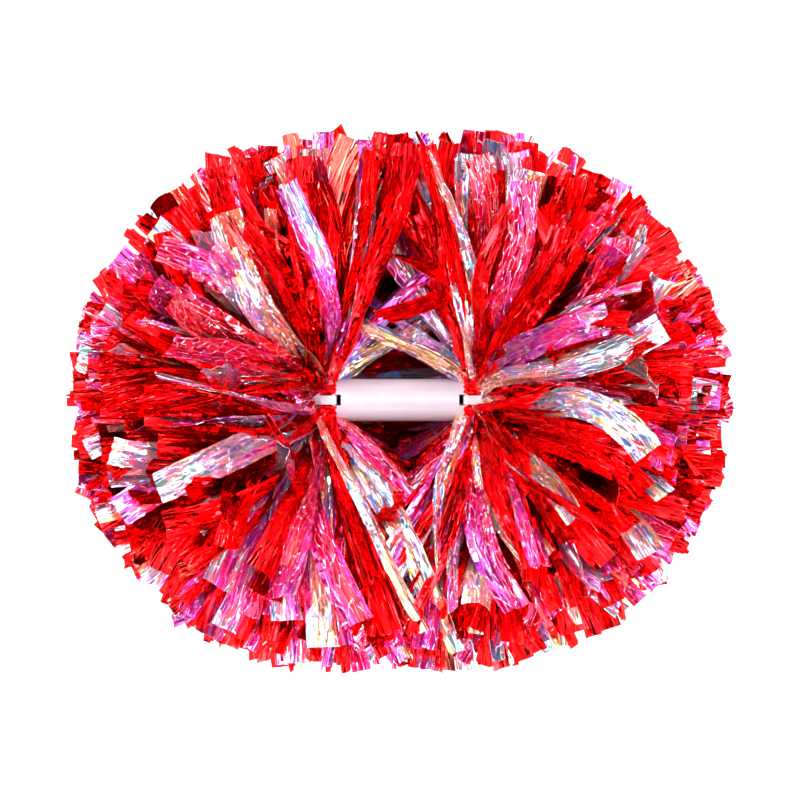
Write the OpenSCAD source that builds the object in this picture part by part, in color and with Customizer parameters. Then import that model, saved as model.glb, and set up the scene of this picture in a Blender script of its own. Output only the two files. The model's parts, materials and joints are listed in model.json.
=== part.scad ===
// Cheer pom pom with a baton handle.
// A plastic tube is gripped in the middle. At each end a cable tie runs through two slots
// in the tube and cinches a stack of film sheets against the tube's mouth. The sheets are
// slit into streamers, which spread from the cinched neck into a ball.
// The handle lies along X, and +Z points up, away from the surface that the ball lies on.

/* [Handle] */
// Length of the handle tube
tube_length = 83; // [69:1:100]
// Outside diameter of the handle tube
tube_od = 26; // [21.5:0.5:31.5]
// Wall thickness of the handle tube
tube_wall = 1.6; // [1:0.1:2.4]
// Bevel on the outer rim at each end of the tube
tube_bevel = 0.5; // [0.2:0.1:0.8]
// Height of the handle's axis above the surface that the ball lies on
axis_height = 100; // [84:1:120]

/* [Slots] */
// Wall left between a slot and the end of the tube
slot_land = 1.4; // [1.2:0.1:3]
// Length of a slot along the tube
slot_length = 4; // [3.2:0.1:6]
// Play between the strap and each side of its slot
slot_play = 0.6; // [0.3:0.05:1]

/* [Cable tie] */
// Width of the strap
strap_w = 5.4; // [4.4:0.1:6.6]
// Thickness of the strap
strap_t = 1.2; // [0.9:0.05:1.5]
// Clearance between the strap and what it passes over
strap_gap = 0.15; // [0.1:0.05:0.3]
// Wall of the locking head beside the strap
head_wall = 0.9; // [0.7:0.05:1.2]
// Depth of the locking head, along the strap's tail
head_depth = 4.2; // [3.8:0.1:4.4]
// Length of the tail left past the head
tail_length = 0.6; // [0.3:0.1:0.9]
// Clearance round the strap's tail and the pawl inside the head
head_play = 0.2; // [0.15:0.05:0.3]
// Height of the toothed pawl
pawl_t = 0.9; // [0.7:0.05:1.1]
// Length of the toothed pawl
pawl_length = 2; // [1.6:0.1:2.2]
// Angle through which the pawl lifts
pawl_lift = 8; // [4:1:10]

/* [Gathered neck] */
// Radius of the film stack where the tie cinches it
waist_r = 8; // [6.5:0.25:9.75]
// How far the gathered film's flare stands out past the tube's rim, where it's pressed on the mouth
core_lip = 0.4; // [0:0.1:1]
// Running clearance between the gathered film and the streamers that bend
bend_gap = 0.4; // [0.3:0.05:0.8]

/* [Streamers] */
// Radius of the ball of streamers at each end
ball_r = 168; // [140:1:204]
// Distance of each ball's centre from the middle of the handle
ball_x = 38; // [30:1:44]
// Number of fringe fans round each end
fan_count = 12; // [12:4:12]
// Angle that a fan fills round the handle's axis
fan_width = 12; // [8:0.5:16]
// Angle to which the streamers round the middle of an end reach
end_angle = 20; // [12:1:24]
// Angle through which a hand pushes a free fan away from the grip
push_angle = 15; // [6:1:18]
// Angle left between fans that pass each other
fan_gap = 3; // [2:0.5:5]
// Gap between the fans of one end and those of the other
middle_gap = 3; // [1:0.5:8]
// Angle from the end's axis at which the uppermost fans stop, clear of the grip
crest_angle = 58; // [48:1:66]
// Angle from the end's axis at which the fans beside the uppermost ones stop
shoulder_angle = 85; // [72:1:92]

/* [Hidden] */
$fn = 96;
sides = ["left", "right"];

// Distance from the middle of the handle to the mouth of the tube
mouth_x = tube_length / 2;
// Distance from the middle of the handle to the centre of a cinched neck
neck_x = mouth_x + waist_r;
tube_r = tube_od / 2;

// Slots
slot_out_x = mouth_x - slot_land;
slot_in_x = slot_out_x - slot_length;
slot_w = strap_w + 2 * slot_play;

// Strap, drawn in a plane through the handle's axis, with its origin at the neck's centre
strap_r = waist_r + strap_gap + strap_t / 2;
strap_bend_r = strap_t / 2 + 0.8;
strap_in_u = slot_out_x - neck_x - strap_gap - strap_t / 2;
rim_point = [mouth_x - tube_bevel - neck_x, tube_r];
head_w = strap_w + 2 * head_play + 2 * head_wall;
tail_bend_r = strap_t / 2 + 0.8;
tail_z = -0.4;
tail_bend_angle = asin((tail_bend_r - tail_z) / (strap_r + tail_bend_r));
head_u = strap_r + tail_bend_r;
head_low_z = tail_z - strap_t / 2 - head_play - head_wall;
pawl_low_z = tail_z + strap_t / 2 + head_play / 2;
pawl_hinge_u = head_u + head_depth - head_wall;
pawl_hinge_z = pawl_low_z + pawl_t;
pawl_w = strap_w - 1.4;
pawl_room = pawl_length * sin(pawl_lift) + head_play;
window_top_z = pawl_hinge_z + pawl_room;
head_high_z = window_top_z + head_wall;
arc_step = 6;

// Ball of gathered film, cut flat by the tube's mouth
core_r = norm([tube_r + core_lip, waist_r]);

// Streamers
head_reach = norm([head_u + head_depth + tail_length, head_w / 2]);
fan_inner_r = max(core_r, head_reach) + bend_gap;
fan_pitch = 360 / fan_count;
free_low_angle = end_angle + push_angle + fan_gap;
fixed_low_angle = end_angle + fan_gap;
middle_r = sqrt(pow(ball_r, 2) - pow(ball_x - middle_gap / 2, 2));
full_angle = 90 + atan((neck_x - middle_gap / 2) / middle_r);
big = 3 * ball_r;

// Fans alternate between metallic foil and pearl film round the handle.
function is_foil(i) = i % 2 == 0;
function fan_name(side, i) =
    str(side, is_foil(i) ? "_foil_fringe_" : "_pearl_fringe_", floor(i / 2) + 1);
// Azimuth of a fan round the handle's axis, from -180 to 180, with 0 straight up and 90 towards +Y.
function fan_azimuth(i) =
    let (turn = (i + 0.5) * fan_pitch)
    turn > 180 ? turn - 360 : turn;
// A fan below the level of the handle lies on the surface, and the others are free to be pushed.
function is_free(i) = abs(fan_azimuth(i)) < 120;
function low_angle(i) = is_free(i) ? free_low_angle : fixed_low_angle;
function high_angle(i) =
    abs(fan_azimuth(i)) < 30 ? crest_angle :
    abs(fan_azimuth(i)) < 60 ? shoulder_angle : full_angle;

// Points of an arc, from one angle to another.
function arc(centre, r, from, to) =
    let (steps = max(1, ceil(abs(to - from) / arc_step)))
    [for (k = [0 : steps])
        let (a = from + (to - from) * k / steps)
        centre + r * [cos(a), sin(a)]];
// A list without its first item, for an arc that starts where the one before it ends.
function but_first(items) = [for (k = [1 : len(items) - 1]) items[k]];
// Unit normal of a path at point k, from the directions of the stretches before and after it.
function path_normal(path, k) =
    let (
        before = path[max(k, 1)] - path[max(k, 1) - 1],
        after = path[min(k, len(path) - 2) + 1] - path[min(k, len(path) - 2)],
        along = before / norm(before) + after / norm(after)
    )
    [-along[1], along[0]] / norm(along);
// Outline of a strap of a given thickness about its middle line.
function strap_outline(path, thickness) = concat(
    [for (k = [0 : len(path) - 1]) path[k] + path_normal(path, k) * thickness / 2],
    [for (k = [len(path) - 1 : -1 : 0]) path[k] - path_normal(path, k) * thickness / 2]
);
// Angle on the neck at which the strap leaves it, straight for the slot and just clear of the tube's rim.
function leave_angle() =
    let (drop = strap_r - strap_gap - strap_t / 2)
    atan2(rim_point[1], rim_point[0]) - acos(drop / norm(rim_point));
// Middle line of the whole tie, from its root in the head to the end of its tail.
function tie_path() =
    let (
        leave = leave_angle(),
        bend_u = strap_in_u + strap_bend_r,
        bend = [bend_u, (strap_r - strap_bend_r - bend_u * cos(leave)) / sin(leave)],
        low_bend = [bend[0], -bend[1]],
        tail_centre = (strap_r + tail_bend_r) * [cos(tail_bend_angle), -sin(tail_bend_angle)],
        tail_end = [head_u + head_depth + tail_length, tail_z]
    )
    concat(
        arc([0, 0], strap_r, 12, leave),
        arc(bend, strap_bend_r, leave, 180),
        arc(low_bend, strap_bend_r, 180, 360 - leave),
        arc([0, 0], strap_r, -leave, -tail_bend_angle),
        but_first(arc(tail_centre, tail_bend_r, 180 - tail_bend_angle, 90)),
        [tail_end]
    );

// Places a shape drawn for the right-hand end, and mirrors it for the left-hand one.
module at_side(side) {
    if (side == "right") children();
    else mirror([1, 0, 0]) children();
}

// Stands an outline drawn along and across the handle upright, with its width along Y.
module upright(width) {
    translate([neck_x, width / 2, axis_height])
        rotate([90, 0, 0])
            linear_extrude(height = width) children();
}

// Tube with a bevelled rim at each end and a slot above and below at each end.
module handle_tube() {
    bore_r = tube_r - tube_wall;
    color("whitesmoke")
        translate([0, 0, axis_height])
            difference() {
                rotate([0, 90, 0])
                    rotate_extrude()
                        polygon([
                            [bore_r, -mouth_x],
                            [tube_r - tube_bevel, -mouth_x],
                            [tube_r, -mouth_x + tube_bevel],
                            [tube_r, mouth_x - tube_bevel],
                            [tube_r - tube_bevel, mouth_x],
                            [bore_r, mouth_x]
                        ]);
                for (end = [-1, 1])
                    translate([end * (slot_in_x + slot_out_x) / 2, 0, 0])
                        cube([slot_length, slot_w, 2 * tube_od], center = true);
            }
}

// Pleated middle of the film stack, cinched at the waist and pressed on the tube's mouth.
module gathered_core(side) {
    groove_w = head_w + 2 * head_play;
    color("crimson")
        at_side(side)
            difference() {
                translate([neck_x, 0, axis_height]) sphere(r = core_r);
                translate([neck_x, 0, axis_height])
                    rotate([90, 0, 0])
                        difference() {
                            cylinder(r = 2 * core_r, h = groove_w, center = true);
                            cylinder(r = waist_r, h = 2 * groove_w, center = true);
                        }
                translate([mouth_x - 2 * core_r, -core_r, axis_height - core_r])
                    cube(2 * core_r);
            }
}

// Cable tie: one moulding of strap and head, with the tail through the head's window.
module tie_band(side) {
    color("white")
        at_side(side) {
            upright(strap_w) polygon(strap_outline(tie_path(), strap_t));
            difference() {
                union() {
                    upright(head_w) head_outline();
                    upright(strap_w) head_root_outline();
                }
                upright(strap_w + 2 * head_play) window_outline();
            }
        }
}

module head_outline() {
    translate([head_u, head_low_z]) square([head_depth, head_high_z - head_low_z]);
}

// Block that joins the root of the strap to the head.
module head_root_outline() {
    root_low_z = tail_z + strap_t / 2 + head_play;
    translate([strap_r, root_low_z]) square([head_u + head_wall - strap_r, head_high_z - root_low_z]);
}

// Window for the tail, with room above it for the pawl to lift.
module window_outline() {
    tail_low_z = tail_z - strap_t / 2 - head_play;
    translate([head_u - head_play, tail_low_z])
        square([head_depth + 1, pawl_low_z - tail_low_z]);
    translate([pawl_hinge_u - pawl_length - head_play, tail_low_z])
        square([pawl_length + 3 * head_play, window_top_z - tail_low_z]);
}

// Toothed pawl that hinges at the far end of the head's window.
module tie_pawl(side) {
    tooth = 0.35;
    color("gainsboro")
        at_side(side)
            upright(pawl_w)
                polygon([
                    [pawl_hinge_u, pawl_hinge_z],
                    [pawl_hinge_u - pawl_length, pawl_hinge_z - 0.2],
                    [pawl_hinge_u - pawl_length, pawl_low_z],
                    [pawl_hinge_u - 2 * pawl_length / 3, pawl_low_z + tooth],
                    [pawl_hinge_u - 2 * pawl_length / 3, pawl_low_z],
                    [pawl_hinge_u - pawl_length / 3, pawl_low_z + tooth],
                    [pawl_hinge_u, pawl_low_z + tooth]
                ]);
}

// Slice of the ball between two angles from the end's axis, as radius and outward distance.
module ball_slice(low, high) {
    reach = 2 * ball_r;
    mid = (low + high) / 2;
    difference() {
        intersection() {
            polygon([
                [0, 0],
                reach * [sin(low), cos(low)],
                2 * reach * [sin(mid), cos(mid)],
                reach * [sin(high), cos(high)]
            ]);
            translate([0, ball_x - neck_x]) circle(r = ball_r);
        }
        circle(r = fan_inner_r);
    }
}

// Turns a slice round the handle's axis and cuts off what would be below the surface.
module streamers(low, high, azimuth, width) {
    difference() {
        translate([neck_x, 0, axis_height])
            rotate([0, 90, 0])
                rotate([0, 0, 180 - azimuth - width / 2])
                    rotate_extrude(angle = width) ball_slice(low, high);
        translate([-big / 2, -big / 2, -big]) cube(big);
    }
}

module fringe_fan(side, i) {
    color(is_foil(i) ? "red" : "orchid")
        at_side(side) streamers(low_angle(i), high_angle(i), fan_azimuth(i), fan_width);
}

// Streamers round the middle of an end, pointing away from the handle.
module end_fringe(side) {
    color("firebrick")
        at_side(side) streamers(0, end_angle, 0, 360);
}

handle_tube();
for (side = sides) {
    gathered_core(side);
    tie_band(side);
    tie_pawl(side);
    end_fringe(side);
    for (i = [0 : fan_count - 1])
        fringe_fan(side, i);
}
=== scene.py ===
"""Cheer pom pom: streamers of foil and pearl film, cinched by cable ties to a tube handle.

Every size is in metres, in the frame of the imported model: the handle lies along X, and +Z
points up from the surface that the pom pom lies on. Streamers are numbered as the fringe
nodes are, from straight up towards +Y.
"""
import json
import logging
import math
from collections.abc import Callable
from dataclasses import dataclass
from enum import Enum
from typing import Any

import bpy
import numpy as np
from numpy.typing import NDArray
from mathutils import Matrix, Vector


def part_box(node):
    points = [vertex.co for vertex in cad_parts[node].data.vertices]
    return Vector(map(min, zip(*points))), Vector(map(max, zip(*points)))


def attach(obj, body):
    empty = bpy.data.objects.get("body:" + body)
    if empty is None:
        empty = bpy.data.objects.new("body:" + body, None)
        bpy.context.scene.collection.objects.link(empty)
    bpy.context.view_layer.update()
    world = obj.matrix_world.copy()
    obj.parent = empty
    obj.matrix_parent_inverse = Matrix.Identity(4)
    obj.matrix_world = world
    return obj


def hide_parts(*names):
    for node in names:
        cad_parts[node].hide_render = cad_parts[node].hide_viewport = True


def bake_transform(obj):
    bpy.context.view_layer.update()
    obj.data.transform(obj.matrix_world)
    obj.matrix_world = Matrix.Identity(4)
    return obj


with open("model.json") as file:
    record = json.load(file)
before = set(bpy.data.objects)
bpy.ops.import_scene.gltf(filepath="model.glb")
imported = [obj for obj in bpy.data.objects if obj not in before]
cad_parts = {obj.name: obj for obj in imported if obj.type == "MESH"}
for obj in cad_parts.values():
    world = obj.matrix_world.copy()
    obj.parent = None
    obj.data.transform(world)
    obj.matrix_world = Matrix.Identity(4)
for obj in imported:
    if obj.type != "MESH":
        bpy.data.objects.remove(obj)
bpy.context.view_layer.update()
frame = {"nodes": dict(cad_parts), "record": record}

Array = NDArray[np.float64]
log = logging.getLogger("pom_pom")

# Steps of a sequence that spreads points evenly over a square, whatever their number.
GOLDEN_U = 0.7548776662466927
GOLDEN_V = 0.5698402909980532

# The ball that one end's streamers fill: its middle along X, its radius, and half its depth.
BALL_X = 0.036
BALL_R = 0.1672
HALF_DEPTH = 0.1635

# Azimuth of a streamer, and how far from the end's axis it may lean there, in degrees.
FAR_SIDE_LEAN = ((0, 54), (20, 60), (45, 84), (62, 102), (80, 112), (180, 122))
NEAR_SIDE_LEAN = ((0, 54), (20, 62), (45, 92), (62, 120), (80, 132), (130, 128), (180, 122))

SHARP_CREASE = math.radians(24.0)


# ---------------------------------------------------------------- small helpers


def linear(hex_colour: str, alpha: float = 1.0) -> tuple[float, float, float, float]:
    """Turns an sRGB hex colour into linear light.

    Args:
        hex_colour: six hex digits, with or without a leading hash.
        alpha: opacity to put beside the colour.

    Returns:
        Red, green, blue and alpha, from 0 to 1.
    """
    digits = hex_colour.lstrip("#")
    srgb = np.array([int(digits[i : i + 2], 16) for i in (0, 2, 4)]) / 255.0
    rgb = np.where(srgb <= 0.04045, srgb / 12.92, ((srgb + 0.055) / 1.055) ** 2.4)
    return float(rgb[0]), float(rgb[1]), float(rgb[2]), alpha


def unit(vectors: Array) -> Array:
    """Scales vectors along the last axis to a length of 1."""
    return vectors / np.maximum(np.linalg.norm(vectors, axis=-1, keepdims=True), 1e-12)


def smooth_step(x: Array) -> Array:
    """Eases from 0 to 1 as x goes from 0 to 1, and stays level outside."""
    x = np.clip(x, 0.0, 1.0)
    return x * x * (3.0 - 2.0 * x)


def turn_about(vectors: Array, axes: Array, angles: Array) -> Array:
    """Turns vectors about unit axes at right angles to them.

    Args:
        vectors: vectors to turn, one per row.
        axes: unit axes, one per row.
        angles: angles in radians, one per row.

    Returns:
        The turned vectors: cos times the vector plus sin times axis cross vector.
    """
    return np.cos(angles)[:, None] * vectors + np.sin(angles)[:, None] * np.cross(axes, vectors)


def add_node(
    tree: bpy.types.NodeTree,
    kind: str,
    settings: dict[str, Any] | None = None,
    inputs: dict[str | int, Any] | None = None,
) -> bpy.types.Node:
    """Adds a shader node with its settings, input values and input links.

    Args:
        tree: node tree to add to.
        kind: registered name of the node type.
        settings: the node's own properties by name.
        inputs: values, or other nodes' output sockets to link, by input name or number.

    Returns:
        The new node.
    """
    node = tree.nodes.new(kind)
    for name, value in (settings or {}).items():
        setattr(node, name, value)
    for name, value in (inputs or {}).items():
        if isinstance(value, bpy.types.NodeSocket):
            tree.links.new(value, node.inputs[name])
        else:
            node.inputs[name].default_value = value
    return node


def set_ramp(node: bpy.types.Node, stops: list[tuple[float, str]]) -> None:
    """Gives a colour ramp its stops.

    Args:
        node: colour ramp node.
        stops: position and hex colour of each stop, from 0 to 1.
    """
    elements = node.color_ramp.elements
    while len(elements) > 1:
        elements.remove(elements[-1])
    elements[0].position, elements[0].color = stops[0][0], linear(stops[0][1])
    for position, colour in stops[1:]:
        elements.new(position).color = linear(colour)


def mesh_piece(name: str, points: Array, faces: NDArray[np.int64]) -> bpy.types.Object:
    """Makes an object at the origin from points and four-cornered faces.

    Args:
        name: piece name.
        points: vertices, one per row, in metres.
        faces: vertex numbers of each face, four per row, turning so that it faces outwards.

    Returns:
        The new object, linked to the scene.
    """
    mesh = bpy.data.meshes.new(name)
    mesh.vertices.add(len(points))
    mesh.vertices.foreach_set("co", points.astype(np.float32).ravel())
    mesh.loops.add(faces.size)
    mesh.loops.foreach_set("vertex_index", faces.astype(np.int32).ravel())
    mesh.polygons.add(len(faces))
    mesh.polygons.foreach_set("loop_start", np.arange(0, faces.size, 4, dtype=np.int32))
    mesh.polygons.foreach_set("use_smooth", np.ones(len(faces), dtype=bool))
    mesh.update(calc_edges=True)
    mesh.validate()
    piece = bpy.data.objects.new(name, mesh)
    bpy.context.scene.collection.objects.link(piece)
    return piece


def tube_faces(rows: int, ring: int) -> NDArray[np.int64]:
    """Gives the faces of a closed tube on a grid, with both its ends filled in.

    Args:
        rows: number of steps along the tube.
        ring: even number of points round it.

    Returns:
        Vertex numbers of the four-cornered faces, one face per row.
    """
    around = np.arange(ring)
    row = np.arange(rows)[:, None] * ring
    after = (around + 1) % ring
    body = np.stack([row + around, row + ring + around, row + ring + after, row + after], axis=-1)
    front = np.arange(ring // 2 - 1)
    back = ring - 1 - front
    root = np.stack([front, front + 1, back - 1, back], axis=-1)
    tip = root[:, ::-1] + rows * ring
    return np.concatenate([body.reshape(-1, 4), root, tip])


def dress_film(piece: bpy.types.Object, place: Array, tone: Array, material: bpy.types.Material) -> None:
    """Gives a film piece its material, its UV map in metres, its tone and its sharp creases.

    Args:
        piece: the piece.
        place: position of each vertex on its flat film, across and along, in metres.
        tone: shade of each vertex, from 0 to 1.
        material: the film's material.
    """
    mesh = piece.data
    corner = np.empty(len(mesh.loops), dtype=np.int32)
    mesh.loops.foreach_get("vertex_index", corner)
    layer = mesh.uv_layers.new(name="film")
    layer.data.foreach_set("uv", place.reshape(-1, 2)[corner].astype(np.float32).ravel())
    mesh.attributes.new("tone", "FLOAT", "POINT").data.foreach_set("value", tone.astype(np.float32))
    mesh.set_sharp_from_angle(angle=SHARP_CREASE)
    mesh.materials.append(material)


# ---------------------------------------------------------------- finishes


@dataclass(frozen=True)
class Crumple:
    """A mosaic of flat facets that creases leave in film, one size of them.

    width_mm and length_mm are a facet's usual size across and along the streamer, slant turns
    it from the streamer's line, in radians, and tilt is the steepest slope across a facet, as
    rise over run. softness rounds the creases between facets, and ridge_share is how much of
    a facet the ridge along its edge takes up, where the films paint a pale highlight.
    """

    width_mm: float
    length_mm: float
    slant: float
    tilt: float
    softness: float = 0.22
    ridge_share: float = 0.07

    def add(self, tree: bpy.types.NodeTree, place: bpy.types.NodeSocket) -> "FacetTextures":
        """Adds the pattern: the height over each cell is a plane with a random tilt of its own.

        Args:
            tree: the material's node tree.
            place: coordinates in metres, across and along the streamer.

        Returns:
            The pattern's output sockets.
        """
        across, along = 1000.0 / self.width_mm, 1000.0 / self.length_mm
        cells_map = add_node(tree, "ShaderNodeMapping",
                             inputs={0: place, 2: (0.0, 0.0, self.slant), 3: (across, along, 1.0)})
        cells = add_node(tree, "ShaderNodeTexVoronoi",
                         {"voronoi_dimensions": "2D", "feature": "SMOOTH_F1"},
                         {"Vector": cells_map.outputs[0], "Scale": 1.0, "Smoothness": self.softness})
        edges = add_node(tree, "ShaderNodeTexVoronoi",
                         {"voronoi_dimensions": "2D", "feature": "DISTANCE_TO_EDGE"},
                         {"Vector": cells_map.outputs[0], "Scale": 1.0})
        offset = add_node(tree, "ShaderNodeVectorMath", {"operation": "SUBTRACT"},
                          {0: cells_map.outputs[0], 1: cells.outputs["Position"]})
        lean = add_node(tree, "ShaderNodeVectorMath", {"operation": "SUBTRACT"},
                        {0: cells.outputs["Color"], 1: (0.5, 0.5, 0.5)})
        height = add_node(tree, "ShaderNodeVectorMath", {"operation": "DOT_PRODUCT"},
                          {0: offset.outputs[0], 1: lean.outputs[0]})
        tint = add_node(tree, "ShaderNodeSeparateColor", inputs={0: cells.outputs["Color"]})
        ridge = add_node(tree, "ShaderNodeMapRange", {"interpolation_type": "SMOOTHSTEP"},
                         {0: edges.outputs["Distance"], 1: 0.0, 2: self.ridge_share, 3: 1.0, 4: 0.0})
        return FacetTextures(height.outputs["Value"], tint.outputs[2], ridge.outputs[0])

    @property
    def depth(self) -> float:
        """Height in metres that gives the steepest facet its tilt."""
        return 2.0 * self.tilt * self.width_mm / 1000.0


@dataclass(frozen=True)
class FacetTextures:
    """Output sockets of one size of crumple: height, a random value per facet, and ridges."""

    height: bpy.types.NodeSocket
    tint: bpy.types.NodeSocket
    ridge: bpy.types.NodeSocket


@dataclass(frozen=True)
class FilmTextures:
    """Output sockets of the patterns that both films use."""

    patches: bpy.types.NodeSocket
    tone: bpy.types.NodeSocket
    broad: FacetTextures
    fine: FacetTextures


@dataclass(frozen=True)
class FoilFilm:
    """Metallised polyester film, red lacquer over vacuum-coated aluminium, slit and crumpled.

    It mirrors its surroundings in red, under a clear gloss skin that adds white glints, and
    creases break each mirror into slivers. Pale lines painted along the ridges are painted
    highlights, and a few streamers are painted salmon all over, a painted reflection of bright
    light on flat film.
    """

    name: str = "metallised polyester film, slit and crumpled"
    bright: str = "#FF0612"
    deep: str = "#EC0010"
    # Salmon painted on a few streamers all over: a painted reflection of bright light on flat film.
    back: str = "#FF7A6C"
    # Colour of the painted highlights on the crease ridges.
    ridge: str = "#FFB4A4"
    roughness: float = 0.12
    slivers: Crumple = Crumple(5.0, 60.0, 0.06, 0.50)
    crinkle: Crumple = Crumple(2.1, 21.0, -0.10, 0.13, 0.22, 0.035)

    def build(self) -> bpy.types.Material:
        """Returns the material."""
        return film_material(self.name, self._surface, self.slivers, self.crinkle)

    def _surface(self, tree: bpy.types.NodeTree, film: FilmTextures) -> dict[str, Any]:
        """Gives the shader's inputs.

        Args:
            tree: the material's node tree.
            film: the patterns shared by the films.

        Returns:
            Principled shader inputs by name.
        """
        shade = add_node(tree, "ShaderNodeValToRGB", inputs={0: film.patches})
        set_ramp(shade, [(0.34, self.deep), (0.60, self.bright)])
        # The streamers of highest tone get the salmon painted reflection.
        turned = add_node(tree, "ShaderNodeMapRange",
                          inputs={0: film.tone, 1: 0.93, 2: 0.95, 3: 0.0, 4: 0.85})
        side = add_node(tree, "ShaderNodeMix", {"data_type": "RGBA"},
                        {0: turned.outputs[0], 6: shade.outputs[0], 7: linear(self.back)})
        # Pale lines along the fine ridges are painted highlights, where the creases would catch the light.
        ridge_highlight = add_node(tree, "ShaderNodeMath", {"operation": "MULTIPLY"}, {0: film.fine.ridge, 1: 0.26})
        creased = add_node(tree, "ShaderNodeMix", {"data_type": "RGBA"},
                           {0: ridge_highlight.outputs[0], 6: side.outputs[2], 7: linear(self.ridge)})
        return {
            "Base Color": creased.outputs[2],
            "Metallic": 1.0,
            "Roughness": self.roughness,
            "Specular Tint": linear("#FF6A60"),
            "Coat Weight": 0.14,
            "Coat Roughness": 0.05,
            "Coat IOR": 1.55,
        }


@dataclass(frozen=True)
class PearlFilm:
    """Iridescent multilayer polyester film, slit and crumpled.

    Its stacked layers turn white light to pink, magenta and violet, and on some streamers to
    silver with blue, green and gold glints. Crumpling breaks it into small glossy facets, with
    pale lines painted on the ridges between them as painted highlights. The colours here, the
    glints among them, are painted facet by facet and stay the same from every side, where the
    real film's turn with the view.
    """

    name: str = "iridescent multilayer film, slit and crumpled"
    # Colour of the painted highlights on the crease ridges.
    ridge: str = "#FFE4F6"
    roughness: float = 0.10
    slivers: Crumple = Crumple(5.6, 48.0, 0.08, 0.46)
    crinkle: Crumple = Crumple(2.6, 10.0, -0.22, 0.22)

    def build(self) -> bpy.types.Material:
        """Returns the material."""
        return film_material(self.name, self._surface, self.slivers, self.crinkle)

    def _surface(self, tree: bpy.types.NodeTree, film: FilmTextures) -> dict[str, Any]:
        """Gives the shader's inputs.

        Args:
            tree: the material's node tree.
            film: the patterns shared by the films.

        Returns:
            Principled shader inputs by name.
        """
        streamer = add_node(tree, "ShaderNodeMath", {"operation": "POWER"}, {0: film.tone, 1: 1.35})
        patched = add_node(tree, "ShaderNodeMath", {"operation": "MULTIPLY_ADD"},
                           {0: film.patches, 1: 0.62, 2: -0.34})
        based = add_node(tree, "ShaderNodeMath", {"operation": "MULTIPLY_ADD"},
                         {0: streamer.outputs[0], 1: 0.74, 2: patched.outputs[0]})
        broad = add_node(tree, "ShaderNodeMath", {"operation": "MULTIPLY_ADD"},
                         {0: film.broad.tint, 1: 0.26, 2: based.outputs[0]})
        hue = add_node(tree, "ShaderNodeMath", {"operation": "MULTIPLY_ADD"},
                       {0: film.fine.tint, 1: 0.14, 2: broad.outputs[0]})
        ramp = add_node(tree, "ShaderNodeValToRGB", inputs={0: hue.outputs[0]})
        # Past 0.6 the stops are silver film, and its cyan, blue, gold and peach stops are painted glints:
        # painted highlights that stay the same from every side.
        set_ramp(ramp, [(0.00, "#FF0018"), (0.14, "#FA0A40"), (0.28, "#F41478"),
                        (0.40, "#FA30B4"), (0.49, "#D050F2"), (0.55, "#FFAAEC"), (0.63, "#FFE0F8"),
                        (0.71, "#B0F4EE"), (0.76, "#86A0FF"), (0.81, "#FFE2F8"), (0.88, "#F6F288"),
                        (0.94, "#FFE6F2"), (1.00, "#FFC8A0")])
        # Pale lines along the fine ridges are painted highlights, where the creases would catch the light.
        ridge_highlight = add_node(tree, "ShaderNodeMath", {"operation": "MULTIPLY"}, {0: film.fine.ridge, 1: 0.80})
        creased = add_node(tree, "ShaderNodeMix", {"data_type": "RGBA"},
                           {0: ridge_highlight.outputs[0], 6: ramp.outputs[0], 7: linear(self.ridge)})
        return {
            "Base Color": creased.outputs[2],
            "Metallic": 0.80,
            "Roughness": self.roughness,
            "IOR": 1.65,
            "Coat Weight": 1.0,
            "Coat Roughness": 0.04,
            "Coat IOR": 1.6,
        }


def film_material(
    name: str,
    surface: Callable[[bpy.types.NodeTree, FilmTextures], dict[str, Any]],
    slivers: Crumple,
    crinkle: Crumple,
) -> bpy.types.Material:
    """Makes a film's material on the pieces' own UV map, which is in metres.

    The creases run along the streamer, so the broad facets are long slivers, and finer ones
    lie between them.

    Args:
        name: material name.
        surface: function that gives the shader's inputs from the tree and the patterns.
        slivers: size of the broad facets.
        crinkle: size of the fine facets.

    Returns:
        The material.
    """
    material = bpy.data.materials.new(name)
    material.use_nodes = True
    tree = material.node_tree
    tree.nodes.clear()
    place = add_node(tree, "ShaderNodeUVMap", {"uv_map": "film"}).outputs[0]
    tone = add_node(tree, "ShaderNodeAttribute", {"attribute_name": "tone"})
    patch_map = add_node(tree, "ShaderNodeMapping", inputs={0: place, 3: (70.0, 18.0, 1.0)})
    patches = add_node(tree, "ShaderNodeTexNoise", {"noise_dimensions": "2D"},
                       {"Vector": patch_map.outputs[0], "Scale": 1.0, "Detail": 3.0, "Distortion": 0.4})
    broad, fine = slivers.add(tree, place), crinkle.add(tree, place)
    coarse = add_node(tree, "ShaderNodeBump",
                      inputs={"Strength": 1.0, "Distance": slivers.depth, "Height": broad.height})
    normal = add_node(tree, "ShaderNodeBump",
                      inputs={"Strength": 1.0, "Distance": crinkle.depth, "Height": fine.height,
                              "Normal": coarse.outputs[0]})
    inputs = surface(tree, FilmTextures(patches.outputs[0], tone.outputs["Fac"], broad, fine))
    inputs["Normal"] = normal.outputs[0]
    inputs["Coat Normal"] = normal.outputs[0]
    shader = add_node(tree, "ShaderNodeBsdfPrincipled", inputs=inputs)
    add_node(tree, "ShaderNodeOutputMaterial", inputs={0: shader.outputs[0]})
    return material


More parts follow.
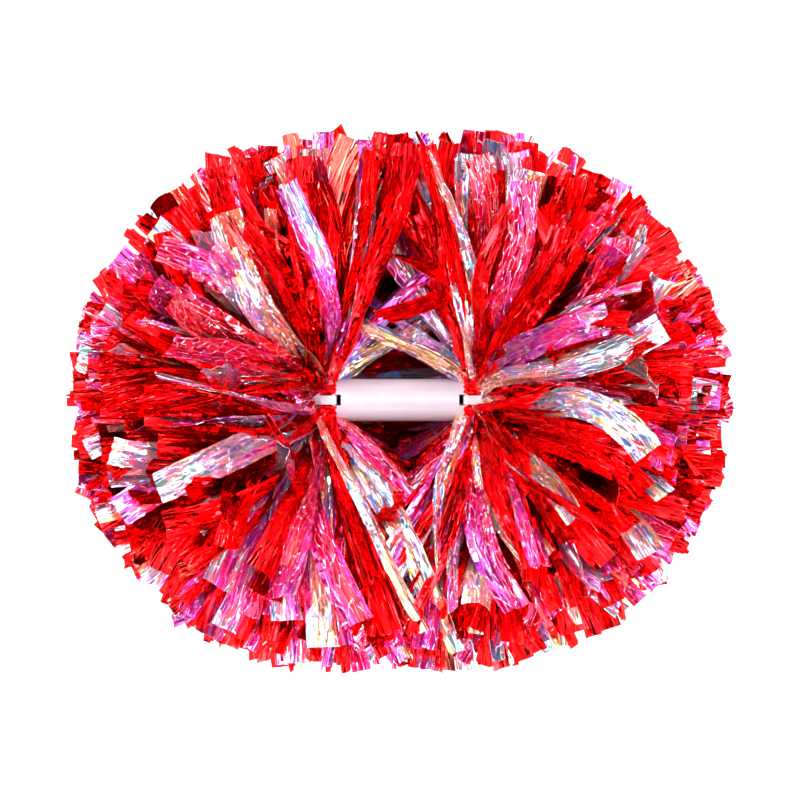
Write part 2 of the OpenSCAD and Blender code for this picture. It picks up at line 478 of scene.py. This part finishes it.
@dataclass(frozen=True)
class MouldedPlastic:
    """White thermoplastic, extruded or moulded, with a soft gloss and faint flow lines."""

    name: str
    light: str
    shade: str
    roughness: float
    line_mm: float
    glow: float

    def build(self) -> bpy.types.Material:
        """Returns the material, with flow lines that run along X and repeat every line_mm."""
        material = bpy.data.materials.new(self.name)
        material.use_nodes = True
        tree = material.node_tree
        tree.nodes.clear()
        place = add_node(tree, "ShaderNodeTexCoord")
        per_metre = 1000.0 / self.line_mm
        lines_map = add_node(tree, "ShaderNodeMapping",
                             inputs={0: place.outputs["Object"], 3: (12.0, per_metre, per_metre)})
        lines = add_node(tree, "ShaderNodeTexNoise",
                         inputs={"Vector": lines_map.outputs[0], "Scale": 1.0, "Detail": 2.0})
        cloud = add_node(tree, "ShaderNodeTexNoise",
                         inputs={"Vector": place.outputs["Object"], "Scale": 55.0, "Detail": 2.0})
        colour = add_node(tree, "ShaderNodeValToRGB", inputs={0: cloud.outputs[0]})
        set_ramp(colour, [(0.30, self.shade), (0.70, self.light)])
        rough = add_node(tree, "ShaderNodeMapRange",
                         inputs={0: lines.outputs[0], 3: self.roughness * 0.8, 4: self.roughness * 1.25})
        bump = add_node(tree, "ShaderNodeBump",
                        inputs={"Strength": 0.25, "Distance": 0.0001, "Height": lines.outputs[0]})
        shader = add_node(tree, "ShaderNodeBsdfPrincipled", inputs={
            "Base Color": colour.outputs[0],
            "Roughness": rough.outputs[0],
            "IOR": 1.5,
            "Subsurface Weight": self.glow,
            "Subsurface Radius": (0.004, 0.003, 0.003),
            "Subsurface Scale": 0.6,
            "Normal": bump.outputs[0],
        })
        add_node(tree, "ShaderNodeOutputMaterial", inputs={0: shader.outputs[0]})
        return material


# ---------------------------------------------------------------- streamers


class Film(Enum):
    """The two films that the streamers are slit from, by their record slot."""

    FOIL = "red_foil"
    PEARL = "pearl_film"

    @property
    def word(self) -> str:
        """Word for the film in the names of pieces and nodes."""
        return "foil" if self is Film.FOIL else "pearl"


@dataclass(frozen=True)
class StripCut:
    """One streamer as it is slit, and the grid that it is drawn on."""

    width: float = 0.020
    length: float = 0.16
    thickness: float = 0.00012
    facets: int = 6
    rows: int = 24

    @property
    def ring(self) -> int:
        """Number of points round the streamer at one row: its front and its back."""
        return 2 * (self.facets + 1)


@dataclass(frozen=True)
class Neck:
    """Where one end's film is cinched, and the ball that its streamers reach out to."""

    side: float
    centre: Array
    ball_centre: Array
    ball_r: float
    half_depth: float
    waist_r: float = 0.008
    floor: float = 0.0004

    @property
    def seed(self) -> int:
        """Number that sets this end's random draws apart from the other end's."""
        return 7 if self.side > 0 else 3

    def reach(self, directions: Array) -> Array:
        """Distance from the neck to the ball's surface in each unit direction.

        It is the positive root of the sphere's equation along the ray from the neck.
        """
        offset = self.centre - self.ball_centre
        along = directions @ offset
        return -along + np.sqrt(along**2 + self.ball_r**2 - offset @ offset)


def spread_limit(azimuth: Array) -> Array:
    """Angle from the end's axis that streamers lean back to, over the handle, by azimuth.

    It is small straight above the grip, where the hand goes in, and past a right angle at
    the sides and below, where the two ends' streamers meet. On the near side, towards -Y,
    they close in more.
    """
    degrees = np.degrees((azimuth + math.pi) % (2 * math.pi) - math.pi)
    far_side = np.interp(degrees, *zip(*FAR_SIDE_LEAN))
    near_side = np.interp(-degrees, *zip(*NEAR_SIDE_LEAN))
    return np.radians(np.where(degrees > 0, far_side, near_side))


@dataclass(frozen=True)
class HandRoom:
    """Room for the hand, which folded streamers keep out of.

    half_length and radius give a cylinder round the grip. half_opening and half_depth are
    half the size, along X and Y, of the opening above it.
    """

    half_length: float = 0.040
    radius: float = 0.050
    half_opening: float = 0.045
    half_depth: float = 0.030

    def holds(self, points: Array, axis_height: float) -> NDArray[np.bool_]:
        """Tells which points lie in the room.

        Args:
            points: points, with X, Y, Z along the last axis.
            axis_height: height of the handle's axis.

        Returns:
            True for each point that is round the grip or in the opening above it.
        """
        x, y, z = np.abs(points[..., 0]), np.abs(points[..., 1]), points[..., 2]
        round_grip = (x < self.half_length) & (np.hypot(y, z - axis_height) < self.radius)
        return round_grip | (x < self.half_opening) & (y < self.half_depth) & (z > axis_height)


@dataclass(frozen=True)
class Bundle:
    """A bundle of streamers of one film that leave a neck in about the same direction.

    azimuth is the bundle's middle about the handle's axis, half_width is how far its
    streamers lie to each side of it, and low and high are the smallest and largest angles
    from the end's axis. Without high, spread_limit sets it. The first few, over, lean far
    across, beside the grip, by over_lean in degrees.
    """

    neck: Neck
    count: int
    azimuth: float
    half_width: float
    low: float
    high: float | None
    seed: int
    over: int = 0
    over_lean: tuple[float, float] = (108.0, 150.0)
    creased_share: float = 0.07
    cut: StripCut = StripCut()

    def aims(self, rng: np.random.Generator) -> tuple[Array, Array]:
        """Chooses where the streamers point, evenly over the sphere, with fewer straight up.

        Args:
            rng: random generator of this bundle.

        Returns:
            Angle from the end's axis and azimuth of each streamer, in radians.
        """
        tries = np.arange(self.count * 3)
        u = (rng.random() + tries * GOLDEN_U) % 1.0
        v = (rng.random() + tries * GOLDEN_V) % 1.0
        azimuth = self.azimuth + (2.0 * u - 1.0) * self.half_width
        high = spread_limit(azimuth) if self.high is None else np.full(len(tries), self.high)
        cosine = np.cos(self.low) + v * (np.cos(high) - np.cos(self.low))
        polar = np.arccos(cosine)
        rise = np.sin(polar) * np.cos(azimuth)
        weight = np.interp(rise, [-1.0, -0.6, 0.35, 0.7, 0.95], [0.9, 1.0, 1.0, 0.55, 0.2])
        kept = rng.random(len(tries)) < weight
        order = np.concatenate([tries[kept], tries[~kept]])[: self.count]
        polar, azimuth = polar[order], azimuth[order]
        polar[: self.over] = np.radians(rng.uniform(*self.over_lean, self.over))
        return polar, azimuth

    def centre_lines(self, rng: np.random.Generator) -> tuple[Array, Array]:
        """Lays each streamer's middle line from the cinch to its tip.

        The line is a cubic Bezier curve. It leaves the cinch nearly along Y, turns to the way
        that it points, and arches over to its tip under its weight. Slow waves bend it, it
        lies down where it meets the floor, and a few are creased over part way along.

        Args:
            rng: random generator of this bundle.

        Returns:
            Points and unit directions, as arrays of streamer, row and X, Y, Z.
        """
        n, neck = self.count, self.neck
        polar, azimuth = self.aims(rng)
        aim = np.stack([neck.side * np.cos(polar), np.sin(polar) * np.sin(azimuth),
                        np.sin(polar) * np.cos(azimuth)], axis=-1)
        length = neck.reach(aim) * (1.0 - 0.15 * rng.random(n) ** 2.8)
        exit_sign = np.where(aim[:, 1] + 0.22 * rng.standard_normal(n) > 0, 1.0, -1.0)
        spin = 2 * math.pi * rng.random(n)
        radius = neck.waist_r * 0.8 * np.sqrt(rng.random(n))
        start = neck.centre + np.stack(
            [radius * np.cos(spin), exit_sign * rng.uniform(0.0030, 0.0060, n), radius * np.sin(spin)],
            axis=-1)
        leave = np.stack([np.zeros(n), exit_sign, np.zeros(n)], axis=-1)
        leave = unit(leave + rng.uniform(0.15, 1.0, (n, 1)) * aim)
        tip = neck.centre + length[:, None] * aim
        sag = rng.uniform(0.05, 0.45, n) * np.sqrt(np.clip(1.0 - aim[:, 2] ** 2, 0.0, 1.0))
        arrive = aim + 0.22 * rng.standard_normal((n, 3))
        arrive[:, 2] -= sag
        handle_out = start + leave * rng.uniform(0.008, 0.030, (n, 1))
        handle_in = tip - unit(arrive) * (length * rng.uniform(0.35, 0.55, n))[:, None]
        t = np.linspace(0.0, 1.0, self.cut.rows + 1)[None, :, None]
        knots = [point[:, None] for point in (start, handle_out, handle_in, tip)]
        points = ((1 - t) ** 3 * knots[0] + 3 * t * (1 - t) ** 2 * knots[1]
                  + 3 * t**2 * (1 - t) * knots[2] + t**3 * knots[3])
        wave = rng.uniform(4.0, 11.0, (n, 1, 1)) * t + rng.uniform(0.0, 2 * math.pi, (n, 1, 1))
        points = points + 0.0022 * np.sin(wave) * t * rng.standard_normal((n, 1, 3))
        points = self.laid_down(self.fitted(self.creased(points, rng)), rng)
        ways = unit(np.gradient(points, axis=1))
        return points, ways

    def creased(self, points: Array, rng: np.random.Generator) -> Array:
        """Folds a few streamers over, about a line across them, part way along.

        Args:
            points: middle lines, as arrays of streamer, row and X, Y, Z.
            rng: random generator of this bundle.

        Returns:
            The lines. One that would then cross the grip's hand room is left as it was.
        """
        n, rows = self.count, self.cut.rows
        chosen = rng.random(n) < self.creased_share
        row = rng.integers(rows // 2, rows - 3, n)
        angle = np.radians(rng.uniform(40, 125, n))
        hinge = points[np.arange(n), row][:, None]
        way = unit(points[np.arange(n), row + 1] - points[np.arange(n), row])
        axis = unit(np.cross(way, rng.standard_normal((n, 3))))[:, None]
        beyond = points - hinge
        along = np.sum(beyond * axis, axis=-1, keepdims=True) * axis
        across = beyond - along
        cosine, sine = np.cos(angle)[:, None, None], np.sin(angle)[:, None, None]
        swung = np.cross(np.broadcast_to(axis, across.shape), across)
        folded = hinge + along + cosine * across + sine * swung
        past = (np.arange(rows + 1)[None] > row[:, None]) & chosen[:, None]
        moved = np.where(past[..., None], folded, points)
        blocks = np.any(HandRoom().holds(moved, self.neck.centre[2]), axis=-1)
        return np.where(blocks[:, None, None], points, moved)

    def fitted(self, points: Array) -> Array:
        """Draws in each line, about the neck, that would pass the ball's outline.

        Args:
            points: middle lines, as arrays of streamer, row and X, Y, Z.

        Returns:
            The lines, none of which leaves the ball or passes its flattened sides.
        """
        neck = self.neck
        offset = points - neck.centre
        far = np.maximum(np.linalg.norm(offset, axis=-1), 1e-6)
        limit = neck.reach(offset / far[..., None])
        depth_limit = neck.half_depth / np.maximum(np.abs(offset[..., 1]) / far, 1e-6)
        factor = np.minimum(1.0, np.min(np.minimum(limit, depth_limit) / far, axis=-1))
        return neck.centre + offset * factor[:, None, None]

    def laid_down(self, points: Array, rng: np.random.Generator) -> Array:
        """Keeps each line above the floor: the part below it is pressed up and a little out.

        Args:
            points: middle lines, as arrays of streamer, row and X, Y, Z.
            rng: random generator of this bundle.

        Returns:
            The lines, lying in a shallow heap where they meet the floor.
        """
        bed = self.neck.floor + rng.uniform(0.002, 0.016, (self.count, 1))
        under = np.maximum(bed - points[..., 2], 0.0)
        spread = 1.0 + 0.4 * under / self.neck.centre[2]
        flat = self.neck.centre[:2] + (points[..., :2] - self.neck.centre[:2]) * spread[..., None]
        height = np.maximum(points[..., 2], bed + 0.02 * under)
        return np.concatenate([flat, height[..., None]], axis=-1)

    def frames(self, rng: np.random.Generator, ways: Array) -> tuple[Array, Array]:
        """Carries each streamer's width and facing direction along it without needless twist.

        Args:
            rng: random generator of this bundle.
            ways: unit directions along the streamers.

        Returns:
            Unit vectors across each streamer and out of its face, at each row.
        """
        n, rows = ways.shape[0], ways.shape[1]
        aim = unit(ways[:, rows // 2])
        axis = np.array([self.neck.side, 0.0, 0.0])
        flat = unit(axis - np.sum(aim * axis, axis=-1, keepdims=True) * aim + 1e-4)
        across = turn_about(flat, aim, np.radians(48.0) * rng.standard_normal(n))
        twist = np.radians(2.6) * rng.standard_normal(n)
        sides = np.empty_like(ways)
        middle = rows // 2
        sides[:, middle] = across
        for order, sign in ((range(middle + 1, rows), 1.0), (range(middle - 1, -1, -1), -1.0)):
            current = across
            for row in order:
                way = ways[:, row]
                current = unit(current - np.sum(current * way, axis=-1, keepdims=True) * way)
                current = turn_about(current, way, sign * twist)
                sides[:, row] = current
        return sides, np.cross(ways, sides)

    def folds(self, rng: np.random.Generator, rise: Array) -> Array:
        """Gives the tilt of each facet across the streamer, at each row.

        The facets are nearly shut at the cinch, where the film is pleated, and open out
        within the first third. Each streamer keeps its own kind of fold: zigzag, V or curl.
        Slow waves along the streamer crumple the facets. Those at the ball's outline, which
        lie level, are pressed together the most.

        Args:
            rng: random generator of this bundle.
            rise: height share of each streamer's direction, from -1 to 1.

        Returns:
            Angles in radians, as an array of streamer, row and facet.
        """
        n, rows, facets = self.count, self.cut.rows + 1, self.cut.facets
        along = np.linspace(0.0, 1.0, rows)[None, :, None]
        column = np.arange(facets)
        zigzag = np.where(column % 2 == 0, 1.0, -1.0)
        vee = np.where(column < facets / 2, 1.0, -1.0)
        pairs = np.where(column // 2 % 2 == 0, 1.0, -1.0)
        curl = np.linspace(1.2, -1.2, facets)
        kinds = np.stack([zigzag, pairs, vee, curl])
        pattern = kinds[rng.integers(0, len(kinds), n)] * rng.choice([-1.0, 1.0], n)[:, None]
        pattern = pattern * rng.uniform(0.6, 1.4, (n, facets))
        shut = np.interp(along, [0.0, 0.06, 0.25, 0.5, 1.0], [1.30, 1.15, 0.80, 0.52, 0.34])
        pressed = 1.0 + 1.3 * np.clip(1.0 - np.abs(rise) / 0.6, 0.0, 1.0)[:, None, None]
        closeness = pressed * (0.40 + 2.2 * rng.random((n, 1, 1)) ** 1.3)
        base = np.clip(shut * (1.0 + (closeness - 1.0) * smooth_step(along * 3.0)), 0.0, 1.30)
        turns = rng.uniform(1.0, 7.0, (n, 1, facets))
        phase = rng.uniform(0.0, 2 * math.pi, (n, 1, facets))
        waves = 0.20 * np.sin(turns * along * math.pi + phase)
        rumpled = 0.03 + 0.20 * rng.random((n, 1, 1)) ** 2 * np.interp(along, [0, 0.3, 1], [1.6, 1.0, 0.5])
        grain = rumpled * rng.standard_normal((n, rows, facets))
        loose = smooth_step(along * 5.0)
        return np.clip(base * pattern[:, None, :], -1.35, 1.35) + (waves + grain) * loose

    def build(self, name: str, material: bpy.types.Material) -> bpy.types.Object:
        """Makes the bundle's piece: each streamer is a closed thin sheet on its own grid.

        A point of a streamer is its middle line's point, plus the running sum of facet
        widths times the cosine of their tilt along the width, plus the same with the sine
        along the facing direction. The front and back lie half a thickness to each side.

        Args:
            name: piece name.
            material: film material.

        Returns:
            The finished piece.
        """
        rng = np.random.default_rng(self.seed)
        cut = self.cut
        lines, ways = self.centre_lines(rng)
        sides, faces_out = self.frames(rng, ways)
        tilt = self.folds(rng, unit(lines[:, -1] - self.neck.centre)[:, 2])
        facet_width = rng.uniform(0.5, 1.5, (self.count, 1, cut.facets))
        facet_width *= cut.width / facet_width.sum(axis=-1, keepdims=True)
        zero = np.zeros(tilt.shape[:2] + (1,))
        over = np.concatenate([zero, np.cumsum(facet_width * np.cos(tilt), axis=-1)], axis=-1)
        lift = np.concatenate([zero, np.cumsum(facet_width * np.sin(tilt), axis=-1)], axis=-1)
        over -= over.mean(axis=-1, keepdims=True)
        lift -= lift.mean(axis=-1, keepdims=True)
        sheet = (lines[:, :, None] + over[..., None] * sides[:, :, None]
                 + lift[..., None] * faces_out[:, :, None])
        sheet[..., 2] = np.maximum(sheet[..., 2], self.neck.floor + 0.0002)
        half = 0.5 * cut.thickness * faces_out[:, :, None]
        shell = np.concatenate([sheet + half, (sheet - half)[:, :, ::-1]], axis=2)
        starts = np.arange(self.count)[:, None, None] * (cut.rows + 1) * cut.ring
        faces = starts + tube_faces(cut.rows, cut.ring)
        piece = mesh_piece(name, shell.reshape(-1, 3), faces.reshape(-1, 4))
        facet = np.arange(cut.facets + 1) * cut.width / cut.facets
        shift = rng.uniform(0.0, 4.0, (self.count, 2))
        place = np.empty((self.count, cut.rows + 1, cut.ring, 2))
        place[..., 0] = np.concatenate([facet, facet[::-1]]) + shift[:, 0, None, None]
        place[..., 1] = np.linspace(0.0, cut.length, cut.rows + 1)[:, None] + shift[:, 1, None, None]
        tone = rng.random(self.count)
        tone[: self.over] = 0.5 + 0.5 * tone[: self.over]
        tone = np.repeat(tone, (cut.rows + 1) * cut.ring)
        dress_film(piece, place, tone, material)
        return piece


# ---------------------------------------------------------------- sub-assemblies


@dataclass(frozen=True)
class GatheredNeck:
    """The uncut middle of one end's film stack: pleated, cinched, and pressed on the tube.

    mouth is the distance of the tube's mouth from the handle's middle, lap is how far the
    film laps back over the tube's rim, and half_strap is half the room that it leaves there
    for the tie's strap.
    """

    name: str
    neck: Neck
    mouth: float
    tube_r: float
    pleats: int = 22
    half_length: float = 0.0140
    half_waist: float = 0.0031
    flare_r: float = 0.0132
    lap: float = 0.0030
    half_strap: float = 0.0032
    fold_points: int = 10
    rows: int = 48
    wrap_ring: int = 360
    wrap_rows: int = 19
    sheaf_seed: int = 40
    wrap_seed: int = 50

    def _pleat_wave(self, turn: Array, rng: np.random.Generator) -> Array:
        """Gives sharp pleats round a circle, from -1 to 1, of uneven width and depth."""
        drift = np.sin(turn[..., None] * np.arange(1, 5) + rng.uniform(0.0, 2 * math.pi, 4)).sum(axis=-1)
        uneven = 0.72 + 0.14 * np.sin(3.0 * turn + drift)
        return uneven * np.arcsin(np.sin(self.pleats * turn + 0.5 * drift)) * 2 / math.pi

    def sheaf(self, material: bpy.types.Material) -> bpy.types.Object:
        """Makes the cinched sheaf, whose axis is along Y.

        Its radius eases from the waist to the flare with the distance from the cinch, and the
        pleats deepen with it. What would enter the tube is flattened on its mouth.

        Args:
            material: film material.

        Returns:
            The finished piece.
        """
        rng = np.random.default_rng(self.sheaf_seed + int(self.neck.side < 0))
        turn = np.linspace(0.0, 2 * math.pi, self.pleats * self.fold_points, endpoint=False)[None]
        y = np.linspace(-self.half_length, self.half_length, self.rows + 1)[:, None]
        far = smooth_step((np.abs(y) - self.half_waist) / (self.half_length - self.half_waist))
        wave = self._pleat_wave(turn, rng)
        base = self.neck.waist_r - 0.0003 + (self.flare_r - self.neck.waist_r) * far**0.85
        radius = base + (0.0003 + 0.0016 * far) * wave
        out = np.maximum(self.neck.side * self.neck.centre[0] + radius * np.cos(turn), self.mouth + 0.0001)
        ragged = y * (1.0 + 0.12 * far * np.sin(5.0 * turn + 7.0 * wave))
        points = np.stack([self.neck.side * out, ragged * self.neck.side,
                           self.neck.centre[2] + radius * np.sin(turn)], axis=-1)
        faces = tube_faces(self.rows, turn.size)
        piece = mesh_piece(f"{self.name}_gathered_neck", points.reshape(-1, 3), faces)
        place = np.stack(np.broadcast_arrays(1.6 * self.neck.waist_r * turn, y), axis=-1)
        dress_film(piece, place, np.full(points.shape[0] * points.shape[1], 0.3), material)
        return piece

    def wrap(self, material: bpy.types.Material) -> bpy.types.Object:
        """Makes the film that laps over the tube's rim and draws in to the cinch.

        It is a thin shell about the handle's axis. Its outer profile runs from the lap, over
        the rim, down to the neck, and it lies lower and starts at the mouth beside the strap.

        Args:
            material: film material.

        Returns:
            The finished piece.
        """
        rng = np.random.default_rng(self.wrap_seed + int(self.neck.side < 0))
        turn = np.linspace(0.0, 2 * math.pi, self.wrap_ring, endpoint=False)[None]
        t = np.linspace(0.0, 1.0, self.wrap_rows)[:, None]
        sideways = np.abs(self.tube_r * np.sin(turn))
        free = smooth_step((sideways - self.half_strap) / 0.0010)
        wave = self._pleat_wave(turn, rng)
        start = -self.lap * (0.82 + 0.25 * wave) * free + 0.0001 * (1.0 - free)
        out = start + (0.0090 - start) * t
        past = np.maximum(out, 0.0)
        under_strap = self.tube_r - 0.0004 - 0.53 * past
        open_air = self.tube_r + 0.0003 + 0.0004 * t - 0.36 * past
        radius = under_strap + (open_air - under_strap) * free
        radius = radius + (0.0002 + 0.0012 * np.minimum(past / 0.003, 1.0)) * (wave + 0.8) * free * 0.5
        inner = np.maximum(radius - 0.00012, np.where(out < 0.0001, self.tube_r + 0.00005, 0.0))
        profile = np.concatenate([radius, inner[::-1]])
        outs = np.concatenate([out, out[::-1]])
        points = np.stack([self.neck.side * (self.mouth + outs), self.neck.side * profile * np.sin(turn),
                           self.neck.centre[2] + profile * np.cos(turn)], axis=-1)
        rows, ring = profile.shape
        row, around = np.arange(rows)[:, None], np.arange(ring)[None]
        below, after = (row + 1) % rows, (around + 1) % ring
        faces = np.stack([row * ring + around, row * ring + after,
                          below * ring + after, below * ring + around], axis=-1)
        piece = mesh_piece(f"{self.name}_mouth_wrap", points.reshape(-1, 3), faces.reshape(-1, 4))
        place = np.stack(np.broadcast_arrays(self.tube_r * turn, outs), axis=-1)
        dress_film(piece, place, np.full(rows * ring, 0.3), material)
        return piece


@dataclass(frozen=True)
class Tuft:
    """The gathered film and streamers of one end of the handle.

    A fan whose lean spans full_span, as a difference of cosines, has strips_per_fan streamers
    before foil_share makes the foil's more and the pearl's fewer. In a fan just below the
    handle's level, down to over_depth as a cosine, over_strips of them lean across beside the
    grip.
    """

    name: str
    neck: Neck
    gather: GatheredNeck
    foil: bpy.types.Material
    pearl: bpy.types.Material
    fan_count: int = 12
    strips_per_fan: int = 74
    foil_share: float = 1.14
    root_reach: float = 0.010
    bend_reach: float = 0.050
    end_strips: int = 72
    full_span: float = 1.25
    over_strips: int = 6
    over_depth: float = -0.3
    fan_low: float = math.radians(18.0)
    end_high: float = math.radians(26.0)
    bend_lean: float = math.radians(60.0)

    def build(self) -> None:
        """Makes and places every soft piece of this end."""
        core = f"{self.name}_gathered_core"
        for piece in (self.gather.sheaf(self.foil), self.gather.wrap(self.foil)):
            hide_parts(core)
            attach(piece, body_of_node(core))
            # How wide this film was cut can't be known. The width is worked out from the
            # modelled walls themselves, and its area share is no test of them.
            log.info("%s: %d faces", piece.name, len(piece.data.polygons))
        for number in range(self.fan_count):
            self._fan(number)
        self._end(Film.FOIL, self.end_strips * 6 // 10)
        self._end(Film.PEARL, self.end_strips * 4 // 10)

    def _material(self, film: Film) -> bpy.types.Material:
        """Returns the material of a film."""
        return self.foil if film is Film.FOIL else self.pearl

    def _fan(self, number: int) -> None:
        """Makes the streamers that replace one fringe fan.

        Args:
            number: the fan's place round the handle's axis, from 0.
        """
        film = Film.FOIL if number % 2 == 0 else Film.PEARL
        node = f"{self.name}_{film.word}_fringe_{number // 2 + 1}"
        pitch = 2 * math.pi / self.fan_count
        azimuth = (number + 0.5) * pitch
        span = math.cos(self.fan_low) - math.cos(float(spread_limit(np.array([azimuth]))[0]))
        share = self.foil_share if film is Film.FOIL else 2.0 - self.foil_share
        count = int(round(self.strips_per_fan * share * span / self.full_span))
        seed = 100 * number + self.neck.seed
        over = self.over_strips if self.over_depth < math.cos(azimuth) < 0.0 else 0
        bundle = Bundle(self.neck, count, azimuth, pitch, self.fan_low, None, seed, over)
        piece = bundle.build(f"{self.name}_{film.word}_streamers_{number // 2 + 1}", self._material(film))
        body = body_of_node(node)
        if body == "handle":
            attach(piece, body)
        else:
            self._bend(piece)
        self._declare(piece, node, count)

    def _bend(self, piece: bpy.types.Object) -> None:
        """Bakes a free bundle's placement into its mesh; it is attached to no body.

        Args:
            piece: the bundle's piece.
        """
        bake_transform(piece)

    def _end(self, film: Film, count: int) -> None:
        """Makes the streamers of one film that point away from the handle.

        Args:
            film: the film that they are slit from.
            count: number of streamers.
        """
        seed = (5000 if film is Film.FOIL else 6000) + self.neck.seed
        bundle = Bundle(self.neck, count, 0.0, math.pi, 0.0, self.end_high, seed)
        piece = bundle.build(f"{self.name}_{film.word}_end_streamers", self._material(film))
        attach(piece, "handle")
        self._declare(piece, f"{self.name}_end_fringe", count)

    def _declare(self, piece: bpy.types.Object, node: str, count: int) -> None:
        """Args:
            piece: the bundle's piece.
            node: the CAD node that it stands for.
            count: number of streamers in it.
        """
        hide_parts(node)
        log.info("%s: %d streamers, %d faces", piece.name, count, len(piece.data.polygons))


def body_of_node(node: str) -> str:
    """Returns the name of the body that a CAD node belongs to."""
    bodies = frame["record"]["behaviour"]["bodies"]
    return next(body for body, nodes in bodies.items() if node in nodes)


@dataclass(frozen=True)
class Studio:
    """Camera above the pom pom, pale floor and soft lights."""

    eye_height: float = 1.70
    subject_height: float = 0.10
    view_width: float = 0.492
    sensor: float = 36.0
    dim_panel: float = 0.05
    bright_panel: float = 2.7

    def build(self) -> None:
        """Makes the camera, the floor, the lights and the surroundings."""
        self._camera()
        self._floor()
        self._lights()
        self._world()

    def _camera(self) -> None:
        """Puts the camera straight above the handle, with +X to the right and +Y up."""
        data = bpy.data.cameras.new("overhead_camera")
        data.sensor_width = self.sensor
        data.lens = self.sensor * (self.eye_height - self.subject_height) / self.view_width
        data.clip_end = 20.0
        camera = bpy.data.objects.new("overhead_camera", data)
        camera.location = (0.0, 0.0, self.eye_height)
        bpy.context.scene.collection.objects.link(camera)
        bpy.context.scene.camera = camera

    def _floor(self) -> None:
        """Lays a pale matt floor under the pom pom."""
        half = 5.0
        corners = np.array([[-half, -half, 0.0], [half, -half, 0.0], [half, half, 0.0], [-half, half, 0.0]])
        floor = mesh_piece("studio_floor", corners, np.array([[0, 1, 2, 3]]))
        material = bpy.data.materials.new("white card, matt")
        material.use_nodes = True
        shader = material.node_tree.nodes["Principled BSDF"]
        shader.inputs["Base Color"].default_value = linear("#F6F6F6")
        shader.inputs["Roughness"].default_value = 0.9
        floor.data.materials.append(material)

    def _lights(self) -> None:
        """Hangs soft boxes round and above the pom pom, all aimed at it."""
        boxes = (
            ("key_box", (-0.75, 0.80, 1.35), 0.35, 0.35, 10.0),
            ("fill_box", (1.00, 0.35, 1.20), 0.20, 0.70, 6.0),
            ("back_box", (0.30, -1.05, 1.00), 0.70, 0.18, 5.0),
            ("left_strip", (-1.15, -0.35, 0.50), 0.20, 0.70, 10.0),
            ("right_strip", (1.15, -0.25, 0.45), 0.20, 0.70, 10.0),
            ("far_strip", (-0.15, 1.15, 0.45), 0.70, 0.20, 10.0),
            ("near_strip", (0.25, -1.15, 0.45), 0.70, 0.20, 10.0),
            ("top_box", (0.20, 0.15, 2.10), 0.45, 0.45, 6.0),
        )
        for name, place, width, height, watts in boxes:
            data = bpy.data.lights.new(name, "AREA")
            data.shape = "RECTANGLE"
            data.size, data.size_y = width, height
            data.energy = watts
            light = bpy.data.objects.new(name, data)
            light.location = place
            aim = np.array([0.0, 0.0, self.subject_height]) - np.array(place)
            tilt = math.atan2(math.hypot(aim[0], aim[1]), -aim[2])
            light.rotation_euler = (tilt, 0.0, math.atan2(-aim[0], aim[1]))
            bpy.context.scene.collection.objects.link(light)

    def _world(self) -> None:
        """Surrounds the scene with broad soft panels, bright and dim by turns, as a studio has.

        They light the pom pom and show in its film, and the backdrop behind it is plain.
        """
        scene = bpy.context.scene
        world = bpy.data.worlds.new("studio")
        world.use_nodes = True
        tree = world.node_tree
        tree.nodes.clear()
        way = add_node(tree, "ShaderNodeTexCoord")
        panels = add_node(tree, "ShaderNodeTexNoise",
                          inputs={"Vector": way.outputs["Generated"], "Scale": 3.4, "Detail": 2.0})
        glow = add_node(tree, "ShaderNodeMapRange", {"interpolation_type": "SMOOTHSTEP"},
                        {0: panels.outputs[0], 1: 0.475, 2: 0.51, 3: self.dim_panel, 4: self.bright_panel})
        light = add_node(tree, "ShaderNodeBackground", inputs={1: glow.outputs[0]})
        backdrop = add_node(tree, "ShaderNodeBackground", inputs={0: linear("#F6F6F6"), 1: 1.0})
        ray = add_node(tree, "ShaderNodeLightPath")
        seen = add_node(tree, "ShaderNodeMixShader", inputs={0: ray.outputs["Is Camera Ray"],
                                                             1: light.outputs[0], 2: backdrop.outputs[0]})
        add_node(tree, "ShaderNodeOutputWorld", inputs={0: seen.outputs[0]})
        scene.world = world
        scene.view_settings.view_transform = "Standard"


def main() -> None:
    """Builds the studio, dresses the handle and ties, and makes both tufts."""
    logging.basicConfig(level=logging.INFO, format="%(message)s")
    Studio().build()
    # The tube is white plastic; the lavender grey of its colours is painted shade and a painted reflection
    # of the pink film round it.
    tube = MouldedPlastic("polypropylene, extruded", "#D4CDD7", "#C9C1CE", 0.24, 1.2, 0.25).build()
    nylon = MouldedPlastic("nylon 66, moulded", "#F7EFF2", "#EBDDE4", 0.36, 0.8, 0.15).build()
    for name, node in frame["nodes"].items():
        if "tube" in name or "tie" in name:
            node.data.materials.clear()
            node.data.materials.append(tube if "tube" in name else nylon)
    foil, pearl = FoilFilm().build(), PearlFilm().build()
    core, tube_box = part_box("right_gathered_core"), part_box("handle_tube")
    core_r = (core[1].y - core[0].y) / 2
    for name, side in (("left", -1.0), ("right", 1.0)):
        centre = np.array([side * (core[1].x - core_r), 0.0, (core[0].z + core[1].z) / 2])
        neck = Neck(side, centre, np.array([side * BALL_X, 0.0, centre[2]]), BALL_R, HALF_DEPTH)
        gather = GatheredNeck(name, neck, tube_box[1].x, tube_box[1].y)
        Tuft(name, neck, gather, foil, pearl).build()


if __name__ == "__main__":
    main()
